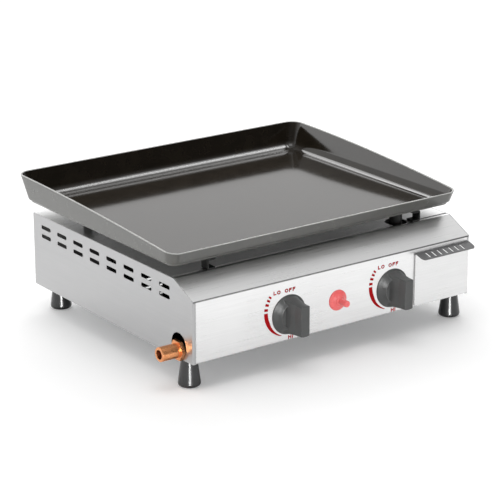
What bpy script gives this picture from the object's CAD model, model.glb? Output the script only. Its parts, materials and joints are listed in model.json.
"""A two-burner gas griddle: sheet housing, enamelled plate on top, two knobs on the front.

The plate, knobs and springs are modelled here in their place, the rest only gets materials. X
runs to the right, Y to the back, Z up from the floor. Shapes are in millimetres about the
housing's centre (see at()), lights and textures in metres.
"""
import bpy, bmesh, json, math
from mathutils import Vector, Matrix

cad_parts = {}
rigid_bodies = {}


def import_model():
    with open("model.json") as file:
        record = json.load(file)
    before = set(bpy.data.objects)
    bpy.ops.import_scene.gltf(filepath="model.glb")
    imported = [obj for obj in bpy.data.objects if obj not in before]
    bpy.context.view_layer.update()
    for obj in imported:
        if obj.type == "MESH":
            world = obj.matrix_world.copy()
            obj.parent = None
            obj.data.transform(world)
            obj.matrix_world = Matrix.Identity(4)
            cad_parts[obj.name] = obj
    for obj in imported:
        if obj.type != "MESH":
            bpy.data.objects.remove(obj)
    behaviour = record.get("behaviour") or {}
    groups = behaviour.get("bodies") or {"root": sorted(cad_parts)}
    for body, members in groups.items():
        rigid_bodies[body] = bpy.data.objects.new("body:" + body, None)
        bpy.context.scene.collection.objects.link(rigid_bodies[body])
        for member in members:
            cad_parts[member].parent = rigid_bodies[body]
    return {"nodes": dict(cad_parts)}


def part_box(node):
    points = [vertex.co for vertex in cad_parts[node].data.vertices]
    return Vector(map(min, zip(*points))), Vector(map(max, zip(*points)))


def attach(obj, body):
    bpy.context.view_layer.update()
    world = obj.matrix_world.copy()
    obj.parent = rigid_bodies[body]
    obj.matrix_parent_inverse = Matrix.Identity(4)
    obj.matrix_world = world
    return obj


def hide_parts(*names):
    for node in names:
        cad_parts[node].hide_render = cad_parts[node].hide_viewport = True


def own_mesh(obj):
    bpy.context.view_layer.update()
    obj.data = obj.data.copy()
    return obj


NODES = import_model()["nodes"]
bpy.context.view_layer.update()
CENTRE_X = (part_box("side_panel_left")[0].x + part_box("side_panel_right")[1].x) / 2.0
CENTRE_Y = (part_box("front_panel")[0].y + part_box("rear_panel")[1].y) / 2.0
SIDES = (("left", -1), ("right", 1))
scene = bpy.context.scene


def at(x, y, z):
    """Millimetres about the housing's centre to metres in the frame."""
    return Vector((x / 1000.0 + CENTRE_X, y / 1000.0 + CENTRE_Y, z / 1000.0))


def add_object(name, data):
    obj = bpy.data.objects.new(name, data)
    scene.collection.objects.link(obj)
    return obj


# ------------------------------------------------------------------ shader graphs
class Graph:
    """A node tree, with a short method for each kind of node."""

    def __init__(self, tree):
        self.tree = tree
        tree.nodes.clear()

    def node(self, kind, **settings):
        node = self.tree.nodes.new(kind)
        for key, value in settings.items():
            setattr(node, key, value)
        return node

    def link(self, source, socket):
        self.tree.links.new(source, socket)

    def put(self, socket, value):
        """Link a socket, or set a plain value."""
        if isinstance(value, bpy.types.NodeSocket):
            self.link(value, socket)
        else:
            socket.default_value = value

    def math(self, operation, a, b=0.0, c=0.0, clamp=False):
        node = self.node("ShaderNodeMath", operation=operation, use_clamp=clamp)
        for socket, value in zip(node.inputs, (a, b, c)):
            if value is not None:
                self.put(socket, value)
        return node.outputs[0]

    def add(self, a, b):
        return self.math("ADD", a, b)

    def mul(self, a, b):
        return self.math("MULTIPLY", a, b)

    def remap(self, value, to, span=(0.3, 0.7), **settings):
        """Map span to the range `to`. The default span is where most noise lies."""
        node = self.node("ShaderNodeMapRange", **settings)
        self.put(node.inputs["Value"], value)
        for key, number in zip(("From Min", "From Max", "To Min", "To Max"), (*span, *to)):
            node.inputs[key].default_value = number
        return node.outputs["Result"]

    def separate(self, vector):
        node = self.node("ShaderNodeSeparateXYZ")
        self.link(vector, node.inputs[0])
        return node.outputs


class Mat(Graph):
    def __init__(self, name, principled=True):
        self.material = bpy.data.materials.new(name)
        self.material.use_nodes = True
        super().__init__(self.material.node_tree)
        self.output = self.node("ShaderNodeOutputMaterial")
        if principled:
            self.shader = self.node("ShaderNodeBsdfPrincipled")
            self.link(self.shader.outputs[0], self.output.inputs[0])
        self.coords = self.node("ShaderNodeTexCoord").outputs["Object"]

    def mapping(self, scale, location=(0, 0, 0)):
        node = self.node("ShaderNodeMapping")
        self.link(self.coords, node.inputs["Vector"])
        node.inputs["Scale"].default_value = scale
        node.inputs["Location"].default_value = location
        return node.outputs[0]

    def noise(self, scale, detail, roughness, distortion=0.0, location=(0, 0, 0)):
        """Noise; scale is one number or one for each axis."""
        if isinstance(scale, float):
            scale = (scale,) * 3
        vector = self.mapping(scale, location)
        node = self.node("ShaderNodeTexNoise")
        self.link(vector, node.inputs["Vector"])
        node.inputs["Scale"].default_value = 1.0
        node.inputs["Detail"].default_value = detail
        node.inputs["Roughness"].default_value = roughness
        node.inputs["Distortion"].default_value = distortion
        return node.outputs["Fac"]

    def cells(self, scale):
        """Voronoi cells, given by their outputs."""
        node = self.node("ShaderNodeTexVoronoi", feature="F1")
        self.link(self.mapping((scale,) * 3), node.inputs["Vector"])
        return node.outputs

    def vector(self, operation, a, b=None):
        node = self.node("ShaderNodeVectorMath", operation=operation)
        self.put(node.inputs[0], a)
        if b is not None:
            self.put(node.inputs[1], b)
        return node.outputs["Value" if operation in ("DOT_PRODUCT", "LENGTH") else "Vector"]

    def mix(self, factor, a, b):
        node = self.node("ShaderNodeMix", data_type="RGBA")
        self.put(node.inputs[0], factor)
        for socket, colour in ((node.inputs[6], a), (node.inputs[7], b)):
            self.put(socket, (*colour, 1.0) if isinstance(colour, tuple) else colour)
        return node.outputs[2]

    def tint(self, factor, base):
        """The base colour times a factor."""
        node = self.node("ShaderNodeCombineColor")
        for i in range(3):
            self.link(self.mul(factor, base[i]), node.inputs[i])
        return node.outputs[0]

    def bump(self, height, strength, distance, normal):
        node = self.node("ShaderNodeBump")
        node.inputs["Strength"].default_value = strength
        node.inputs["Distance"].default_value = distance
        self.link(height, node.inputs["Height"])
        self.link(normal, node.inputs["Normal"])
        return node.outputs[0]

    def edge_wear(self, radius):
        """Wear, 0 on flat skin and towards 1 near a hard edge, and the rounded normal."""
        bevel = self.node("ShaderNodeBevel", samples=4)
        bevel.inputs["Radius"].default_value = radius
        geometry = self.node("ShaderNodeNewGeometry")
        facing = self.vector("DOT_PRODUCT", bevel.outputs[0], geometry.outputs["Normal"])
        return self.remap(facing, span=(0.995, 0.80), to=(0.0, 1.0)), bevel.outputs[0]

    def surface(self, color, roughness, normal, metallic=0.0, specular=0.5):
        """Feed the shader and give back the finished material."""
        for key, value in (("Base Color", color), ("Metallic", metallic),
                           ("Roughness", roughness), ("Normal", normal),
                           ("Specular IOR Level", specular)):
            self.put(self.shader.inputs[key], value)
        return self.material


# ------------------------------------------------------------------ kinds of material
def grey(value):
    return (value,) * 3


STREAK = 0.55                       # strength of the brushing
STAIN_CENTRE = at(0.0, 0.0, 95.0)   # faces turned to this point are stained


def steel(name, grain="x", base=grey(0.70), roughness=0.30, stain=0.9, bend=None):
    """Brushed stainless sheet, grain along one axis. bend: (y, z) of a press line along X."""
    m = Mat(name)

    def brushed(along, across):
        return tuple(along if axis == grain else across for axis in "xyz")

    fine = m.noise(brushed(16.0, 1500.0), detail=2.0, roughness=0.6)
    medium = m.noise(brushed(5.0, 420.0), detail=2.0, roughness=0.55, location=(3.1, 1.7, 0.4))
    cloud = m.noise(9.0, detail=3.0, roughness=0.5, distortion=0.4)
    smear = m.noise(brushed(14.0, 60.0), detail=2.0, roughness=0.5, location=(0.7, 5.0, 2.0))
    scratches = m.add(m.mul(fine, 0.55), m.mul(medium, 0.45))
    tone = m.remap(scratches, span=(0.25, 0.75), to=(1.0 - 0.13 * STREAK, 1.0 + 0.08 * STREAK))
    tone = m.mul(tone, m.remap(cloud, to=(0.975, 1.015)))
    tone = m.mul(tone, m.remap(smear, span=(0.3, 0.75), to=(0.985, 1.01)))
    color = m.tint(tone, base)
    rough = m.add(m.remap(scratches, span=(0.25, 0.75), to=(roughness - 0.07, roughness + 0.09)),
                  m.remap(cloud, to=(-0.02, 0.025)))
    wear, normal = m.edge_wear(radius=0.0009)
    rough = m.math("SUBTRACT", rough, m.mul(wear, 0.08), clamp=True)
    color = m.mix(m.mul(wear, 0.5), color, (0.88, 0.88, 0.87))
    # faces turned to the middle of the housing are stained by heat and dull
    geometry = m.node("ShaderNodeNewGeometry").outputs
    outward = m.vector("SUBTRACT", geometry["Position"], STAIN_CENTRE)
    facing = m.vector("DOT_PRODUCT", outward, geometry["Normal"])
    inside = m.remap(facing, span=(-0.004, -0.012), to=(0.0, stain))
    color = m.mix(inside, color, (0.030, 0.028, 0.026))
    if bend is not None:
        # dark line about a millimetre wide, by the distance from the bend in Y and Z
        offset = m.vector("SUBTRACT", geometry["Position"], at(0.0, *bend))
        distance = m.vector("LENGTH", m.vector("MULTIPLY", offset, (0.0, 1.0, 1.0)))
        color = m.mix(m.remap(distance, span=(0.0014, 0.0008), to=(0.0, 0.80)), color, grey(0.10))
    return m.surface(color, m.add(rough, m.mul(inside, 0.22)), metallic=1.0,
                     normal=m.bump(scratches, 0.10 * STREAK, 0.00012, normal))


def zinc(name, base, roughness):
    """Galvanised sheet: fine spangle and soft mottling."""
    m = Mat(name)
    spangle = m.separate(m.cells(190.0)["Color"])[0]
    mottle = m.noise(35.0, detail=3.0, roughness=0.5)
    fine = m.noise(700.0, detail=2.0, roughness=0.5)
    tone = m.mul(m.remap(spangle, span=(0.0, 1.0), to=(0.90, 1.07)),
                 m.remap(mottle, to=(0.93, 1.05)))
    color = m.tint(tone, base)
    _, normal = m.edge_wear(radius=0.0007)
    rough = m.add(m.remap(spangle, span=(0.0, 1.0), to=(roughness - 0.06, roughness + 0.07)),
                  m.remap(mottle, to=(-0.03, 0.03)))
    return m.surface(color, rough, metallic=1.0,
                     normal=m.bump(fine, strength=0.08, distance=0.0002, normal=normal))


def metal(name, base, roughness, grain, stain=None, turned=None):
    """Turned, cast or wire metal: fine marks, soft staining, worn edges.

    turned: the axis along which fine tool rings repeat.
    """
    m = Mat(name)
    fine = m.noise(grain, detail=3.0, roughness=0.6)
    cloud = m.noise(60.0, detail=4.0, roughness=0.6, distortion=0.5, location=(1.0, 4.0, 2.0))
    height = fine
    if turned is not None:
        along = m.separate(m.coords)["xyz".index(turned)]
        rings = m.math("SINE", m.mul(along, 9000.0))
        height = m.add(m.mul(fine, 0.6), m.mul(rings, 0.25))
    wear, normal = m.edge_wear(radius=0.0005)
    dark = stain or tuple(v * 0.72 for v in base)
    bright = tuple(min(1.0, v * 1.25 + 0.05) for v in base)
    color = m.mix(m.remap(cloud, span=(0.35, 0.68), to=(0.0, 0.55)), base, dark)
    color = m.mix(m.mul(wear, 0.45), color, bright)
    rough = m.add(m.remap(fine, to=(roughness - 0.06, roughness + 0.08)),
                  m.remap(cloud, to=(-0.04, 0.06)))
    return m.surface(color, rough, metallic=1.0,
                     normal=m.bump(height, strength=0.12, distance=0.0002, normal=normal))


def coating(name, base, roughness, grain, relief, worn, wear, specular=0.5, mottle=0.12,
            variation=1.0):
    """Paint, enamel or moulded plastic: fine skin, soft mottling, rubbed edges.

    grain and relief: scale and bump of the skin. worn and wear: colour and amount of rubbing.
    variation: how far the roughness strays.
    """
    m = Mat(name)
    fine = m.noise(grain, detail=3.0, roughness=0.55)
    cloud = m.noise(45.0, detail=4.0, roughness=0.55, distortion=0.3, location=(2.0, 1.0, 7.0))
    cells = m.cells(grain * 1.8)["Distance"]
    edge, normal = m.edge_wear(radius=0.0006)
    dark = tuple(v * (1.0 - mottle) for v in base)
    light = tuple(v * (1.0 + mottle) for v in base)
    color = m.mix(m.remap(cloud, to=(0.0, 1.0)), dark, light)
    color = m.mix(m.mul(edge, wear), color, worn)
    height = m.add(m.mul(fine, 0.6), m.mul(cells, 0.4))
    rough = m.add(
        m.remap(fine, to=(roughness - 0.04 * variation, roughness + 0.05 * variation)),
        m.remap(cloud, to=(-0.03 * variation, 0.05 * variation)))
    return m.surface(color, rough, specular=specular,
                     normal=m.bump(height, relief, 0.0003, normal))


# ------------------------------------------------------------------ materials of the CAD pieces
def dress(material, *nodes):
    """Give CAD pieces one material, and hand it back."""
    for node in nodes:
        mesh = NODES[node].data
        mesh.materials.clear()
        mesh.materials.append(material)
        for face in mesh.polygons:
            face.material_index = 0
    return material


def pair(stem):
    return [f"{stem}_{side}" for side, _ in SIDES]


FOOT_NODES = pair("foot_front") + pair("foot_rear")
IGNITER_NODES = ["igniter_bezel", "igniter_button"]

dress(steel("steel_grain_x"), "tray_box")
dress(steel("steel_front", bend=(-210.2, 129.9)), "front_panel")
dress(steel("steel_grain_y", grain="y", base=(0.435, 0.435, 0.438), roughness=0.34),
      *pair("side_panel"))
dress(steel("steel_tray", base=grey(0.66), stain=0.0), "tray_front")
dress(steel("steel_rear", stain=0.45), "rear_panel")
dress(steel("steel_top", stain=0.0), "top_frame")
dress(zinc("galvanised_sheet", base=(0.52, 0.53, 0.54), roughness=0.38),
      "base_pan", *pair("tray_rail"), "gas_manifold", "manifold_brackets")
dress(zinc("galvanised_sheet_heat_stained", base=(0.10, 0.092, 0.085), roughness=0.52),
      "heat_shield", "burner_support", "electrode_brackets")
dress(coating("foot_moulding", base=(0.036, 0.037, 0.039), roughness=0.17, grain=600.0,
              relief=0.012, worn=grey(0.12), wear=0.3, variation=0.4), *FOOT_NODES)
dress(metal("zinc_screw", base=(0.62, 0.62, 0.60), roughness=0.28, grain=500.0),
      "foot_screws", "foot_nuts", "valve_screws", "housing_screws", "bracket_screws")
dress(coating("handle_coat", base=(0.10, 0.10, 0.103), roughness=0.35, grain=700.0,
              relief=0.10, worn=grey(0.35), wear=0.5), "tray_handle")
KNOB_PLASTIC = dress(
    coating("knob_moulding", base=(0.070, 0.073, 0.072), roughness=0.33, grain=900.0,
            relief=0.10, worn=(0.14, 0.145, 0.14), wear=0.35), *pair("knob"))
dress(metal("turned_brass", base=(0.76, 0.58, 0.28), roughness=0.26, grain=600.0,
            stain=(0.50, 0.34, 0.14)),
      *pair("valve_stem"), *pair("valve_plug"), *pair("injector"))
dress(metal("cast_aluminium", base=grey(0.56), roughness=0.45, grain=900.0), *pair("valve_body"))
dress(metal("bright_wire", base=grey(0.68), roughness=0.2, grain=900.0),
      *pair("valve_spring"), "igniter_spring", "electrode_pins")
dress(coating("dial_ink", base=(0.60, 0.004, 0.008), roughness=0.60, grain=1500.0, relief=0.05,
              worn=(0.52, 0.01, 0.01), wear=0.0, mottle=0.06, specular=0.12),
      *pair("dial_print"))
dress(coating("red_plastic", base=(0.88, 0.15, 0.15), roughness=0.28, grain=700.0, relief=0.05,
              worn=(0.95, 0.35, 0.33), wear=0.5, mottle=0.05), *IGNITER_NODES)
dress(coating("black_plastic", base=(0.02, 0.02, 0.021), roughness=0.42, grain=800.0,
              relief=0.12, worn=grey(0.08), wear=0.4), "igniter_nut", "igniter_body")
dress(metal("copper_brass", base=(0.80, 0.36, 0.16), roughness=0.30, grain=500.0,
            stain=(0.56, 0.20, 0.08), turned="x"), "gas_inlet_fitting")
dress(metal("heat_tinted_tube", base=(0.46, 0.43, 0.40), roughness=0.36, grain=400.0,
            stain=(0.30, 0.20, 0.14)), *pair("burner"))
dress(coating("glazed_ceramic", base=(0.80, 0.78, 0.72), roughness=0.15, grain=500.0,
              relief=0.03, worn=(0.9, 0.88, 0.84), wear=0.2, mottle=0.04), *pair("electrode"))
dress(coating("silicone_jacket", base=(0.05, 0.02, 0.02), roughness=0.42, grain=900.0,
              relief=0.08, worn=(0.1, 0.06, 0.06), wear=0.2), *pair("ignition_lead"))
PLATE_INSIDE = dress(
    coating("pan_inside_enamel", base=(0.0185, 0.0142, 0.0095), roughness=0.095, grain=380.0,
            relief=0.004, worn=(0.06, 0.06, 0.055), wear=0.0, mottle=0.22, variation=0.15),
    "griddle_plate")
PLATE_OUTSIDE = coating("pan_outside_enamel", base=(0.122, 0.122, 0.114), roughness=0.24,
                        grain=420.0, relief=0.03, worn=(0.3, 0.3, 0.29), wear=0.3,
                        mottle=0.05, variation=0.5)
dress(coating("pan_underside_enamel", base=(0.008, 0.008, 0.0075), roughness=0.55, grain=420.0,
              relief=0.08, worn=grey(0.05), wear=0.3, mottle=0.2),
      "griddle_legs", "grease_spout")
PLATE_BASE = coating("pan_base_enamel", base=(0.15, 0.15, 0.14), roughness=0.30, grain=420.0,
                     relief=0.08, worn=(0.2, 0.2, 0.19), wear=0.2, mottle=0.2)
PLATE_RIM = coating("pan_rim_edge", base=(0.40, 0.40, 0.385), roughness=0.28, grain=420.0,
                    relief=0.08, worn=(0.6, 0.6, 0.58), wear=0.5, mottle=0.08)

# ------------------------------------------------------------------ griddle plate
# The walls lean out and stand on a rounded rectangle. Heights are from their lower edge.
PLATE_Z = 171.9
HALF_X, FRONT_Y, BACK_Y = 255.35, -168.4, 225.5
SIDE_LEAN, FRONT_LEAN, BACK_LEAN = 0.222, 0.376, 0.299   # outward run per unit of height
WALL = 2.9                                    # thickness
CORNER_LOW, CORNER_HIGH, HIGH = 17.0, 23.0, 45.0   # plan radii at the foot and at height HIGH
RIM_BACK_Z, RIM_FRONT_Z, RIM_POWER = 211.3, 189.4, 1.726   # the rim falls towards the front
FLOOR_H = -1.7                                # cooking surface
BASE_H, BASE_INSET = -3.5, 4.0                # underside of the dropped base
BEND_R, EDGE_R = 2.6, 0.9                     # outer bend at the foot, rounding of the rim
COVE_R, COVE_FRONT_LESS = 18.5, 6.5           # inner cove, tighter along the front
DRAW_IN, DRAW_HALF_X = 0.138, 252.0           # inner side walls: extra lean, at this half width
DRAIN_X, DRAIN_Y, DRAIN_R = 160.0, -146.5, 7.5
RIM_BACK_Y = BACK_Y + BACK_LEAN * (RIM_BACK_Z - PLATE_Z)
RIM_FRONT_Y = FRONT_Y - FRONT_LEAN * (RIM_FRONT_Z - PLATE_Z)
CORNER_STEPS, SIDE_STEPS, COVE_STEPS, DRAIN_STEPS = 14, (44, 34), 16, 40
# corners: front left, front right, back right, back left
CORNER_SIGNS = ((-1, 0), (1, 0), (1, 1), (-1, 1))   # sign of x; 0 front or 1 back
CORNER_START = (180.0, 270.0, 0.0, 90.0)
OUTER, RIM, INNER, BASE = range(4)            # material slots

# stations round the plan, counter-clockwise from above:
# corner, fraction of its quarter turn, fraction of the side after it
STATIONS = []
for corner in range(4):
    STATIONS += [(corner, i / CORNER_STEPS, 0.0) for i in range(CORNER_STEPS)]
    steps = SIDE_STEPS[corner % 2]
    STATIONS += [(corner, 1.0, i / steps) for i in range(steps)]
COUNT = len(STATIONS)
ANGLES = [math.radians(CORNER_START[corner] + 90.0 * turn) for corner, turn, _ in STATIONS]
NORMALS = [(math.cos(angle), math.sin(angle)) for angle in ANGLES]


def shift(i, point, distance):
    """Move a plan point along the outward normal of station i."""
    return (point[0] + NORMALS[i][0] * distance, point[1] + NORMALS[i][1] * distance)


def between(a, b, fraction):
    return (a[0] + (b[0] - a[0]) * fraction, a[1] + (b[1] - a[1]) * fraction)


def wall_plan(height, inset):
    """Plan points of a wall at one height, set in from the outer face."""
    radius = CORNER_LOW + (CORNER_HIGH - CORNER_LOW) * height / HIGH - inset
    half_x = HALF_X + SIDE_LEAN * height - inset
    ends = (FRONT_Y - FRONT_LEAN * height + inset + radius,
            BACK_Y + BACK_LEAN * height - inset - radius)
    centres = [(sign * (half_x - radius), ends[end]) for sign, end in CORNER_SIGNS]
    return [between(shift(i, centres[corner], radius),
                    shift(i, centres[(corner + 1) % 4], radius), along)
            for i, (corner, _, along) in enumerate(STATIONS)]


OUTER_PLANS, INNER_PLANS = [(wall_plan(0.0, inset), wall_plan(HIGH, inset))
                            for inset in (0.0, WALL)]


def outer(i, height):
    return between(OUTER_PLANS[0][i], OUTER_PLANS[1][i], height / HIGH)


def rim_height(i):
    """Height where the leaning outer wall meets the falling rim curve."""
    height = 30.0
    for _ in range(12):
        fraction = (RIM_BACK_Y - outer(i, height)[1]) / (RIM_BACK_Y - RIM_FRONT_Y)
        fraction = min(max(fraction, 0.0), 1.0)
        rim_z = RIM_FRONT_Z + (RIM_BACK_Z - RIM_FRONT_Z) * (1.0 - fraction ** RIM_POWER)
        height = rim_z - PLATE_Z
    return height


# height at which the rounding of the rim begins
EDGE_H = [rim_height(i) - EDGE_R for i in range(COUNT)]


def inner(i, height):
    """Inner wall; its sides draw in a little more than the outside does."""
    x, y = between(INNER_PLANS[0][i], INNER_PLANS[1][i], height / HIGH)
    return x * (1.0 - DRAW_IN * (EDGE_H[i] - height) / DRAW_HALF_X), y


def cove(i):
    """Lean of the inner wall, length of the cove's tangents and its radius."""
    low, high = inner(i, 0.0), inner(i, 10.0)
    slope = sum((high[k] - low[k]) * NORMALS[i][k] for k in range(2)) / 10.0
    lean = math.atan(slope)
    radius = COVE_R - COVE_FRONT_LESS * max(0.0, -NORMALS[i][1])
    return lean, radius / math.tan((math.pi / 2 + lean) / 2.0), radius


def plate_rows():
    """Rings of (x, y, height) from the underside, over the rim, to the floor.

    Also gives the material slot of each band between two rings.
    """
    rows = []

    def add_row(point):
        rows.append([point(i) for i in range(COUNT)])

    # dropped base: inset, height
    for inset, height in ((BASE_INSET + 3.0, BASE_H), (BASE_INSET + 1.2, BASE_H),
                          (BASE_INSET, BASE_H + 1.0), (BASE_INSET - 0.5, -0.6),
                          (BASE_INSET - 1.0, 0.0)):
        add_row(lambda i: (*shift(i, outer(i, 0.0), -inset), height))
    base_end = len(rows)
    # bend at the foot, then the outer wall
    for j in range(6):
        angle = math.radians(90.0 * j / 5.0)
        height, inset = BEND_R * (1 - math.cos(angle)), BEND_R * (1 - math.sin(angle))
        add_row(lambda i: (*shift(i, outer(i, height), -inset), height))
    for fraction in (0.2, 0.4, 0.6, 0.8):
        def on_outer(i):
            height = BEND_R + (EDGE_H[i] - BEND_R) * fraction
            return (*outer(i, height), height)
        add_row(on_outer)
    rim_start = len(rows)
    # rounding of the rim, up on the outside and down on the inside
    turns = [math.radians(90.0 * j / 3.0) for j in range(4)]
    for angle in turns:
        inset, rise = EDGE_R * (1 - math.cos(angle)), EDGE_R * math.sin(angle)
        add_row(lambda i: (*shift(i, outer(i, EDGE_H[i]), -inset), EDGE_H[i] + rise))
    for angle in turns:
        outset, rise = EDGE_R * (1 - math.sin(angle)), EDGE_R * math.cos(angle)
        add_row(lambda i: (*shift(i, inner(i, EDGE_H[i]), outset), EDGE_H[i] + rise))
    rim_end = len(rows) - 1
    # inner wall, down to the top of the cove
    coves = [cove(i) for i in range(COUNT)]
    for fraction in (0.85, 0.6, 0.35, 0.12, 0.0):
        def on_inner(i):
            lean, tangent, _ = coves[i]
            low = FLOOR_H + tangent * math.cos(lean)
            height = low + (EDGE_H[i] - low) * fraction
            return (*inner(i, height), height)
        add_row(on_inner)
    for j in range(1, COVE_STEPS + 1):
        def on_cove(i):
            lean, tangent, radius = coves[i]
            angle = (math.pi / 2 - lean) * (1.0 - j / COVE_STEPS)
            centre = shift(i, inner(i, FLOOR_H), -tangent)
            return (*shift(i, centre, radius * math.sin(angle)),
                    FLOOR_H + radius * (1 - math.cos(angle)))
        add_row(on_cove)
    slots = ([BASE] * base_end + [OUTER] * (rim_start - base_end)
             + [RIM] * (rim_end - rim_start) + [INNER] * (len(rows) - 1 - rim_end))
    return rows, slots


def sharp_by_angle(obj, degrees):
    bpy.context.view_layer.objects.active = obj
    for other in bpy.context.view_layer.objects:
        other.select_set(False)
    obj.select_set(True)
    bpy.ops.object.shade_smooth_by_angle(angle=math.radians(degrees), keep_sharp_edges=True)


def build_plate():
    rows, bands = plate_rows()
    verts = [at(x, y, PLATE_Z + height) for row in rows for x, y, height in row]
    faces, slots = [], []
    for j, slot in enumerate(bands):
        low, high = j * COUNT, (j + 1) * COUNT
        for i in range(COUNT):
            k = (i + 1) % COUNT
            faces.append((low + i, low + k, high + k, high + i))
            slots.append(slot)
    # wall of the drain hole, from underside to floor
    drain_low = len(verts)
    drain_high = drain_low + DRAIN_STEPS
    for height in (BASE_H, FLOOR_H):
        for i in range(DRAIN_STEPS):
            angle = 2 * math.pi * i / DRAIN_STEPS
            verts.append(at(DRAIN_X + DRAIN_R * math.cos(angle),
                            DRAIN_Y + DRAIN_R * math.sin(angle), PLATE_Z + height))
    for i in range(DRAIN_STEPS):
        k = (i + 1) % DRAIN_STEPS
        faces.append((drain_low + i, drain_high + i, drain_high + k, drain_low + k))
        slots.append(INNER)
    mesh = bpy.data.meshes.new("cooking_plate")
    mesh.from_pydata([tuple(v) for v in verts], [], faces)
    bm = bmesh.new()
    bm.from_mesh(mesh)
    bm.verts.ensure_lookup_table()
    for face, slot in zip(bm.faces, slots):
        face.material_index = slot
    # underside and floor, each filled round the drain hole
    last_row = (len(rows) - 1) * COUNT
    for row_start, drain_start, slot in ((0, drain_low, BASE), (last_row, drain_high, INNER)):
        edges = [bm.edges.get((bm.verts[start + i], bm.verts[start + (i + 1) % count]))
                 for start, count in ((row_start, COUNT), (drain_start, DRAIN_STEPS))
                 for i in range(count)]
        filled = bmesh.ops.triangle_fill(bm, use_beauty=True, use_dissolve=False, edges=edges)
        for item in filled["geom"]:
            if isinstance(item, bmesh.types.BMFace):
                item.material_index = slot
    bmesh.ops.recalc_face_normals(bm, faces=bm.faces)
    for face in bm.faces:
        face.smooth = True
    bm.to_mesh(mesh)
    bm.free()
    plate = add_object("cooking_plate", mesh)
    for material in (PLATE_OUTSIDE, PLATE_RIM, PLATE_INSIDE, PLATE_BASE):
        mesh.materials.append(material)
    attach(plate, "griddle")
    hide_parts("griddle_plate")
    sharp_by_angle(plate, 40)
    plate.modifiers.new("wn", "WEIGHTED_NORMAL").keep_sharp = True
    return plate


plate = build_plate()

# ------------------------------------------------------------------ knobs
# Distances are out of the control face, towards the front.
FACE_Y = -210.75
KNOB_X, KNOB_SHIFT, KNOB_Z = 93.9, 3.6, 81.3   # half spacing, shift of both to the right, height
SKIRT_R = 29.2
GAP = 3.5                                      # from the face to the back of the skirt
KNOB_H = 43.6
GRIP_START = GAP + 3.2
TIP_R = 1.0                                    # rounding of the grip's front edge
# radius, distance beyond the gap
SKIRT = [
    (0, 5.6), (17.0, 5.4), (22.4, 4.0), (SKIRT_R - 2.6, 1.6), (SKIRT_R - 2.6, 0.0),
    (SKIRT_R - 1.0, 0.0), (SKIRT_R, 0.8), (SKIRT_R, 2.4), (SKIRT_R - 0.8, 3.3), (27.0, 4.6),
    (25.0, 6.2), (22.6, 8.5), (20.8, 11.0), (20.2, 12.0), (19.5, 12.3), (18.9, 11.8),
    (18.4, 8.6), (17.6, 8.2), (0, 8.0)]
BOSS = [(0, 6.0), (6.4, 6.0), (6.4, -0.4), (0, -0.4)]
# distance, radius of the disc the grip is clipped from
GRIP_RADIUS = [
    (GRIP_START, 27.3), (GAP + 4.5, 27.0), (GAP + 8.0, 26.4), (GAP + 13.0, 25.4),
    (GAP + 19.0, 24.5), (GAP + 26.0, 23.7), (GAP + 33.0, 23.1), (KNOB_H, 22.8)]
# distance, half width of the grip
GRIP_HALF = [(GRIP_START, 12.4), (11.0, 11.4), (14.5, 10.3), (20.0, 8.9), (28.0, 7.45),
             (28.6, 7.4), (KNOB_H, 7.3)]
GRIP_LEVELS = [GRIP_START, 8.0, 10.0, 12.0, 14.5, 17.0, 20.0, 23.5, 27.0, 28.0, 28.6, 32.0,
               36.0, 40.0, KNOB_H - TIP_R, KNOB_H - 0.5, KNOB_H - 0.15, KNOB_H]
GRIP_SIDE_STEPS, GRIP_END_STEPS = 20, 14


def bridge(bm, a, b):
    """Quads between two rings of equal count."""
    for i in range(len(a)):
        j = (i + 1) % len(a)
        bm.faces.new((a[i], a[j], b[j], b[i]))


def lathe(bm, profile, centre_x, count):
    """Solid turned about an axis along Y. Only the profile's two ends have radius 0."""
    rings = []
    for radius, beyond in profile:
        turns = [2 * math.pi * i / count for i in range(count if radius else 1)]
        rings.append([bm.verts.new(at(centre_x + radius * math.cos(turn),
                                      FACE_Y - (GAP + beyond),
                                      KNOB_Z + radius * math.sin(turn))) for turn in turns])
    for a, b in zip(rings, rings[1:]):
        if len(a) == len(b):
            bridge(bm, a, b)
            continue
        for i in range(count):
            j = (i + 1) % count
            bm.faces.new((a[0], b[i], b[j]) if len(a) == 1 else (a[i], a[j], b[0]))


def interpolate(stations, x):
    """Value at x, which lies within the stations."""
    for (x0, y0), (x1, y1) in zip(stations, stations[1:]):
        if x <= x1:
            return y0 + (y1 - y0) * (x - x0) / (x1 - x0)


def grip_outline(distance):
    """Disc clipped by two flats, as (x, z) about the knob's axis."""
    past = max(0.0, distance - (KNOB_H - TIP_R))
    inset = TIP_R - math.sqrt(max(0.0, TIP_R - past * past))
    radius = interpolate(GRIP_RADIUS, distance) - inset
    half = interpolate(GRIP_HALF, distance) - inset
    top = math.sqrt(radius * radius - half * half)
    points = []
    for s in (1, -1):
        # one flat and the arc after it: left and lower, then right and upper
        for i in range(GRIP_SIDE_STEPS):
            points.append((-s * half, s * (top - 2 * top * i / GRIP_SIDE_STEPS)))
        start, end = math.atan2(-s * top, -s * half), math.atan2(-s * top, s * half)
        for i in range(GRIP_END_STEPS):
            angle = start + (end - start) * i / GRIP_END_STEPS
            points.append((radius * math.cos(angle), radius * math.sin(angle)))
    return points


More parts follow.
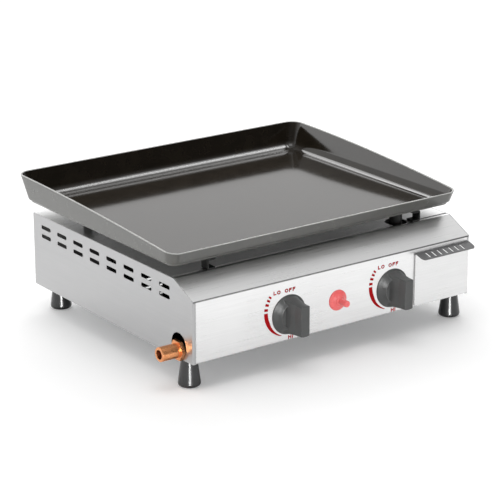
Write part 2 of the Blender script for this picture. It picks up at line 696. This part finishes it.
def build_knob(side, centre_x):
    bm = bmesh.new()
    lathe(bm, SKIRT, centre_x, count=96)
    lathe(bm, BOSS, centre_x, count=48)
    rings = [[bm.verts.new(at(centre_x + x, FACE_Y - distance, KNOB_Z + z))
              for x, z in grip_outline(distance)] for distance in GRIP_LEVELS]
    for a, b in zip(rings, rings[1:]):
        bridge(bm, a, b)
    bm.faces.new(rings[0][::-1])
    bm.faces.new(rings[-1])
    bmesh.ops.recalc_face_normals(bm, faces=bm.faces)
    name = f"grip_knob_{side}"
    mesh = bpy.data.meshes.new(name)
    bm.to_mesh(mesh)
    bm.free()
    knob = add_object(name, mesh)
    # fuse the solids and soften where they meet
    remesh = knob.modifiers.new("remesh", "REMESH")
    remesh.mode = "VOXEL"
    remesh.voxel_size = 0.00042
    remesh.use_smooth_shade = True
    soften = knob.modifiers.new("soften", "SMOOTH")
    soften.factor = 0.5
    soften.iterations = 3
    knob.modifiers.new("thin", "DECIMATE").ratio = 0.45
    apply_modifiers(knob)
    knob.data.materials.append(KNOB_PLASTIC)
    for face in knob.data.polygons:
        face.use_smooth = True
    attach(knob, f"{side}_knob")
    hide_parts(f"knob_{side}")
    return knob


def apply_modifiers(obj):
    depsgraph = bpy.context.evaluated_depsgraph_get()
    mesh = bpy.data.meshes.new_from_object(obj.evaluated_get(depsgraph), depsgraph=depsgraph)
    obj.modifiers.clear()
    obj.data = mesh


knobs = [build_knob(side, sign * KNOB_X + KNOB_SHIFT) for side, sign in SIDES]


# ------------------------------------------------------------------ return springs
def build_coil(name, node, body):
    """Spring squeezed as its button or stem is pushed.
    """
    mesh = NODES[node].data.copy()
    mesh.transform(NODES[node].matrix_world)
    coil = add_object(name, mesh)
    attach(coil, body)
    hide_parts(node)
    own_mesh(coil)


for side, _ in SIDES:
    build_coil(f"coil_valve_{side}", f"valve_spring_{side}", f"{side}_valve_plug")
build_coil("coil_igniter", "igniter_spring", "housing")

# ------------------------------------------------------------------ floor
FLOOR_HALF, FLOOR_Z = 14, -0.0002


def floor_paper():
    """Near-white paper, brighter to bounced light than to the camera."""
    m = Mat("floor_paper", principled=False)
    diffuse = m.node("ShaderNodeBsdfDiffuse")
    camera_ray = m.node("ShaderNodeLightPath").outputs["Is Camera Ray"]
    grain = m.noise(90.0, detail=3.0, roughness=0.5)
    seen = m.mix(grain, grey(0.895), grey(0.905))
    m.link(m.mix(camera_ray, grey(1.25), seen), diffuse.inputs["Color"])
    glow = m.node("ShaderNodeEmission")
    m.link(m.mul(camera_ray, 0.20), glow.inputs["Strength"])
    both = m.node("ShaderNodeAddShader")
    m.link(diffuse.outputs[0], both.inputs[0])
    m.link(glow.outputs[0], both.inputs[1])
    m.link(both.outputs[0], m.output.inputs[0])
    return m.material


floor_mesh = bpy.data.meshes.new("floor")
floor_mesh.from_pydata([(x * FLOOR_HALF, y * FLOOR_HALF, FLOOR_Z)
                        for x, y in ((-1, -1), (1, -1), (1, 1), (-1, 1))], [], [(0, 1, 2, 3)])
floor = add_object("floor", floor_mesh)
floor_mesh.materials.append(floor_paper())


# ------------------------------------------------------------------ world
def build_world():
    """Bright behind, softer overhead, dark low down in front."""
    world = bpy.data.worlds.new("studio")
    scene.world = world
    world.use_nodes = True
    g = Graph(world.node_tree)
    output = g.node("ShaderNodeOutputWorld")
    background = g.node("ShaderNodeBackground")
    g.link(background.outputs[0], output.inputs[0])
    _, y, z = g.separate(g.node("ShaderNodeTexCoord").outputs["Generated"])

    def calc(operation, a, b):
        return g.math(operation, a, b, c=None)

    smooth = {"interpolation_type": "SMOOTHSTEP"}
    back = g.remap(y, span=(-0.35, 0.35), to=(0.0, 1.0), **smooth)
    up = g.remap(z, span=(0.35, 0.95), to=(0.0, 1.0), **smooth)
    front = calc("SUBTRACT", 1.0, back)
    # 1.20 at the back, 0.40 less overhead; 0.80 over the front; 0.05 everywhere
    behind = calc("MULTIPLY", back, calc("SUBTRACT", 1.20, calc("MULTIPLY", up, 0.40)))
    overhead = calc("MULTIPLY", calc("MULTIPLY", up, front), 0.80)
    strength = calc("ADD", calc("ADD", behind, overhead), 0.05)
    g.link(strength, background.inputs["Strength"])
    background.inputs["Color"].default_value = (1, 1, 1, 1)


build_world()


# ------------------------------------------------------------------ lights
def add_light(name, location, rotation, size, power, gloss_only=False, lit=None, blockers=None):
    """Area light. lit: the only objects it reaches. blockers: the only ones that shade it."""
    lamp = bpy.data.lights.new(name, "AREA")
    lamp.shape = "RECTANGLE"
    lamp.size, lamp.size_y = size
    lamp.energy = power
    lamp.spread = math.pi
    light = add_object(name, lamp)
    light.location = location
    light.rotation_euler = rotation
    light.visible_camera = False
    if gloss_only:
        light.visible_diffuse = False
    for kind, objects in (("receiver_collection", lit), ("blocker_collection", blockers)):
        if objects:
            group = bpy.data.collections.new(name + "_" + kind)
            for obj in objects:
                group.objects.link(obj)
            setattr(light.light_linking, kind, group)


def panel(name, location, target, size, power):
    """Light over the whole scene, aimed at target."""
    aim = Vector(target) - Vector(location)
    add_light(name, location, aim.to_track_quat("-Z", "Y").to_euler(), size, power)


def strip(name, start, end, target, height, radiance, lit, blockers=None, gloss_only=True):
    """Soft light whose long side runs from start to end, facing target."""
    start, end, target = Vector(start), Vector(end), Vector(target)
    centre = (start + end) / 2.0
    run = end - start
    z = (centre - target).normalized()
    x = run - z * run.dot(z)
    x.normalize()
    rotation = Matrix((x, z.cross(x), z)).transposed().to_euler()
    add_light(name, centre, rotation, (run.length, height),
              radiance * math.pi * run.length * height, gloss_only, lit, blockers)


PLATE = [plate]
FEET = [NODES[name] for name in FOOT_NODES]
SHEET = [NODES["front_panel"], NODES["tray_front"]]
IGNITER = [NODES[name] for name in IGNITER_NODES]
TOP = [NODES["top_frame"]]
REAR = [NODES["rear_panel"]]
# the brushed sheet shows no mirror image of the controls
for obj in knobs + IGNITER:
    obj.visible_glossy = False

panel("key_back", (1.2, 1.9, 2.1), target=(0.05, 0.05, 0.15), size=(2.6, 0.6), power=20.0)
panel("top_soft", (-0.2, -0.3, 2.6), target=(0, 0, 0.1), size=(1.6, 1.2), power=14.0)
strip("cove_right", (1.07, 1.75, 1.84), (1.07, 2.75, 1.84), target=(0.2, 1.0, 0.17),
      height=0.46, radiance=1.8, lit=PLATE, blockers=PLATE)
strip("pan_top", (1.3, -0.7, 2.4), (2.5, -0.3, 2.2), target=(0.05, 0.0, 0.15),
      height=1.0, radiance=2.4, lit=PLATE, blockers=PLATE)
strip("pan_back_left", (-3.2, 1.6, 0.5), (-0.9, 3.4, 0.5), target=(0.1, 0.0, 0.18),
      height=1.3, radiance=1.3, lit=PLATE)
strip("front_soft", (-1.05, -1.25, 0.42), (-0.20, -1.60, 0.42), target=(0.0, -0.12, 0.06),
      height=0.75, radiance=14.0, lit=FEET + PLATE + [NODES["gas_inlet_fitting"]])
strip("foot_far", (-3.45, -4.90, -0.25), (-2.41, -5.50, -0.25), target=(0.0, 0.0, 0.02),
      height=1.8, radiance=120.0, lit=FEET, blockers=FEET)
strip("knob_soft", (-1.6, -0.9, 0.75), (-0.55, -1.5, 0.75), target=(0.0, -0.2, 0.08),
      height=0.7, radiance=9.0, lit=knobs)
strip("panel_card", (0.00, -1.45, 0.22), (0.80, -1.15, 0.22), target=(-0.2, -0.21, 0.08),
      height=0.42, radiance=3.2, lit=SHEET, blockers=SHEET)
strip("cove_line", (1.00, -0.02, 2.32), (1.91, -0.02, 2.32), target=(0.0, 0.22, 0.18),
      height=0.85, radiance=7.0, lit=PLATE, blockers=PLATE)
strip("cove_wash", (1.00, 0.10, 2.36), (1.91, 0.10, 2.36), target=(0.0, 0.22, 0.18),
      height=1.70, radiance=1.6, lit=PLATE, blockers=PLATE)
strip("knob_root", (-1.25, 0.10, -0.30), (-1.00, 0.60, -0.30), target=(0.0, -0.23, 0.08),
      height=0.45, radiance=2.2, lit=knobs, blockers=knobs)
strip("knob_bead", (-0.45, -1.75, 0.05), (-0.10, -1.78, 0.05), target=(0.0, -0.23, 0.08),
      height=0.55, radiance=34.0, lit=knobs, blockers=knobs)
strip("ledge_fill", (1.1, 2.6, 1.0), (2.3, 1.7, 1.0), target=(0.0, 0.0, 0.153),
      height=1.2, radiance=0.09, lit=TOP, blockers=TOP)
strip("igniter_soft", (-1.0, -1.3, 0.5), (-0.2, -1.6, 0.5), target=(0.0, -0.21, 0.08),
      height=0.7, radiance=4.3, lit=IGNITER, gloss_only=False)
strip("inside_back", at(-150.0, 20.0, 60.0), at(-60.0, 100.0, 60.0),
      target=at(-200.0, 208.0, 110.0), height=0.10, radiance=0.30, lit=REAR, blockers=REAR)

# ------------------------------------------------------------------ camera
# in front and to the left, looking down
AZIMUTH, ELEVATION = math.radians(-36.134), math.radians(18.385)
DISTANCE = 3.031562
TARGET = at(-0.19, 0.0, 100.326)

lens = bpy.data.cameras.new("camera")
lens.sensor_width = 36.0
lens.lens = 145.32
lens.clip_start = 0.05
lens.clip_end = 100.0
camera = add_object("camera", lens)
to_camera = Vector((math.sin(AZIMUTH) * math.cos(ELEVATION),
                    -math.cos(AZIMUTH) * math.cos(ELEVATION), math.sin(ELEVATION)))
camera.location = TARGET + to_camera * DISTANCE
camera.rotation_euler = to_camera.to_track_quat("Z", "Y").to_euler()
scene.camera = camera
scene.view_settings.view_transform = "Standard"
scene.view_settings.look = "None"
scene.view_settings.exposure = 0.0
scene.view_settings.gamma = 1.0
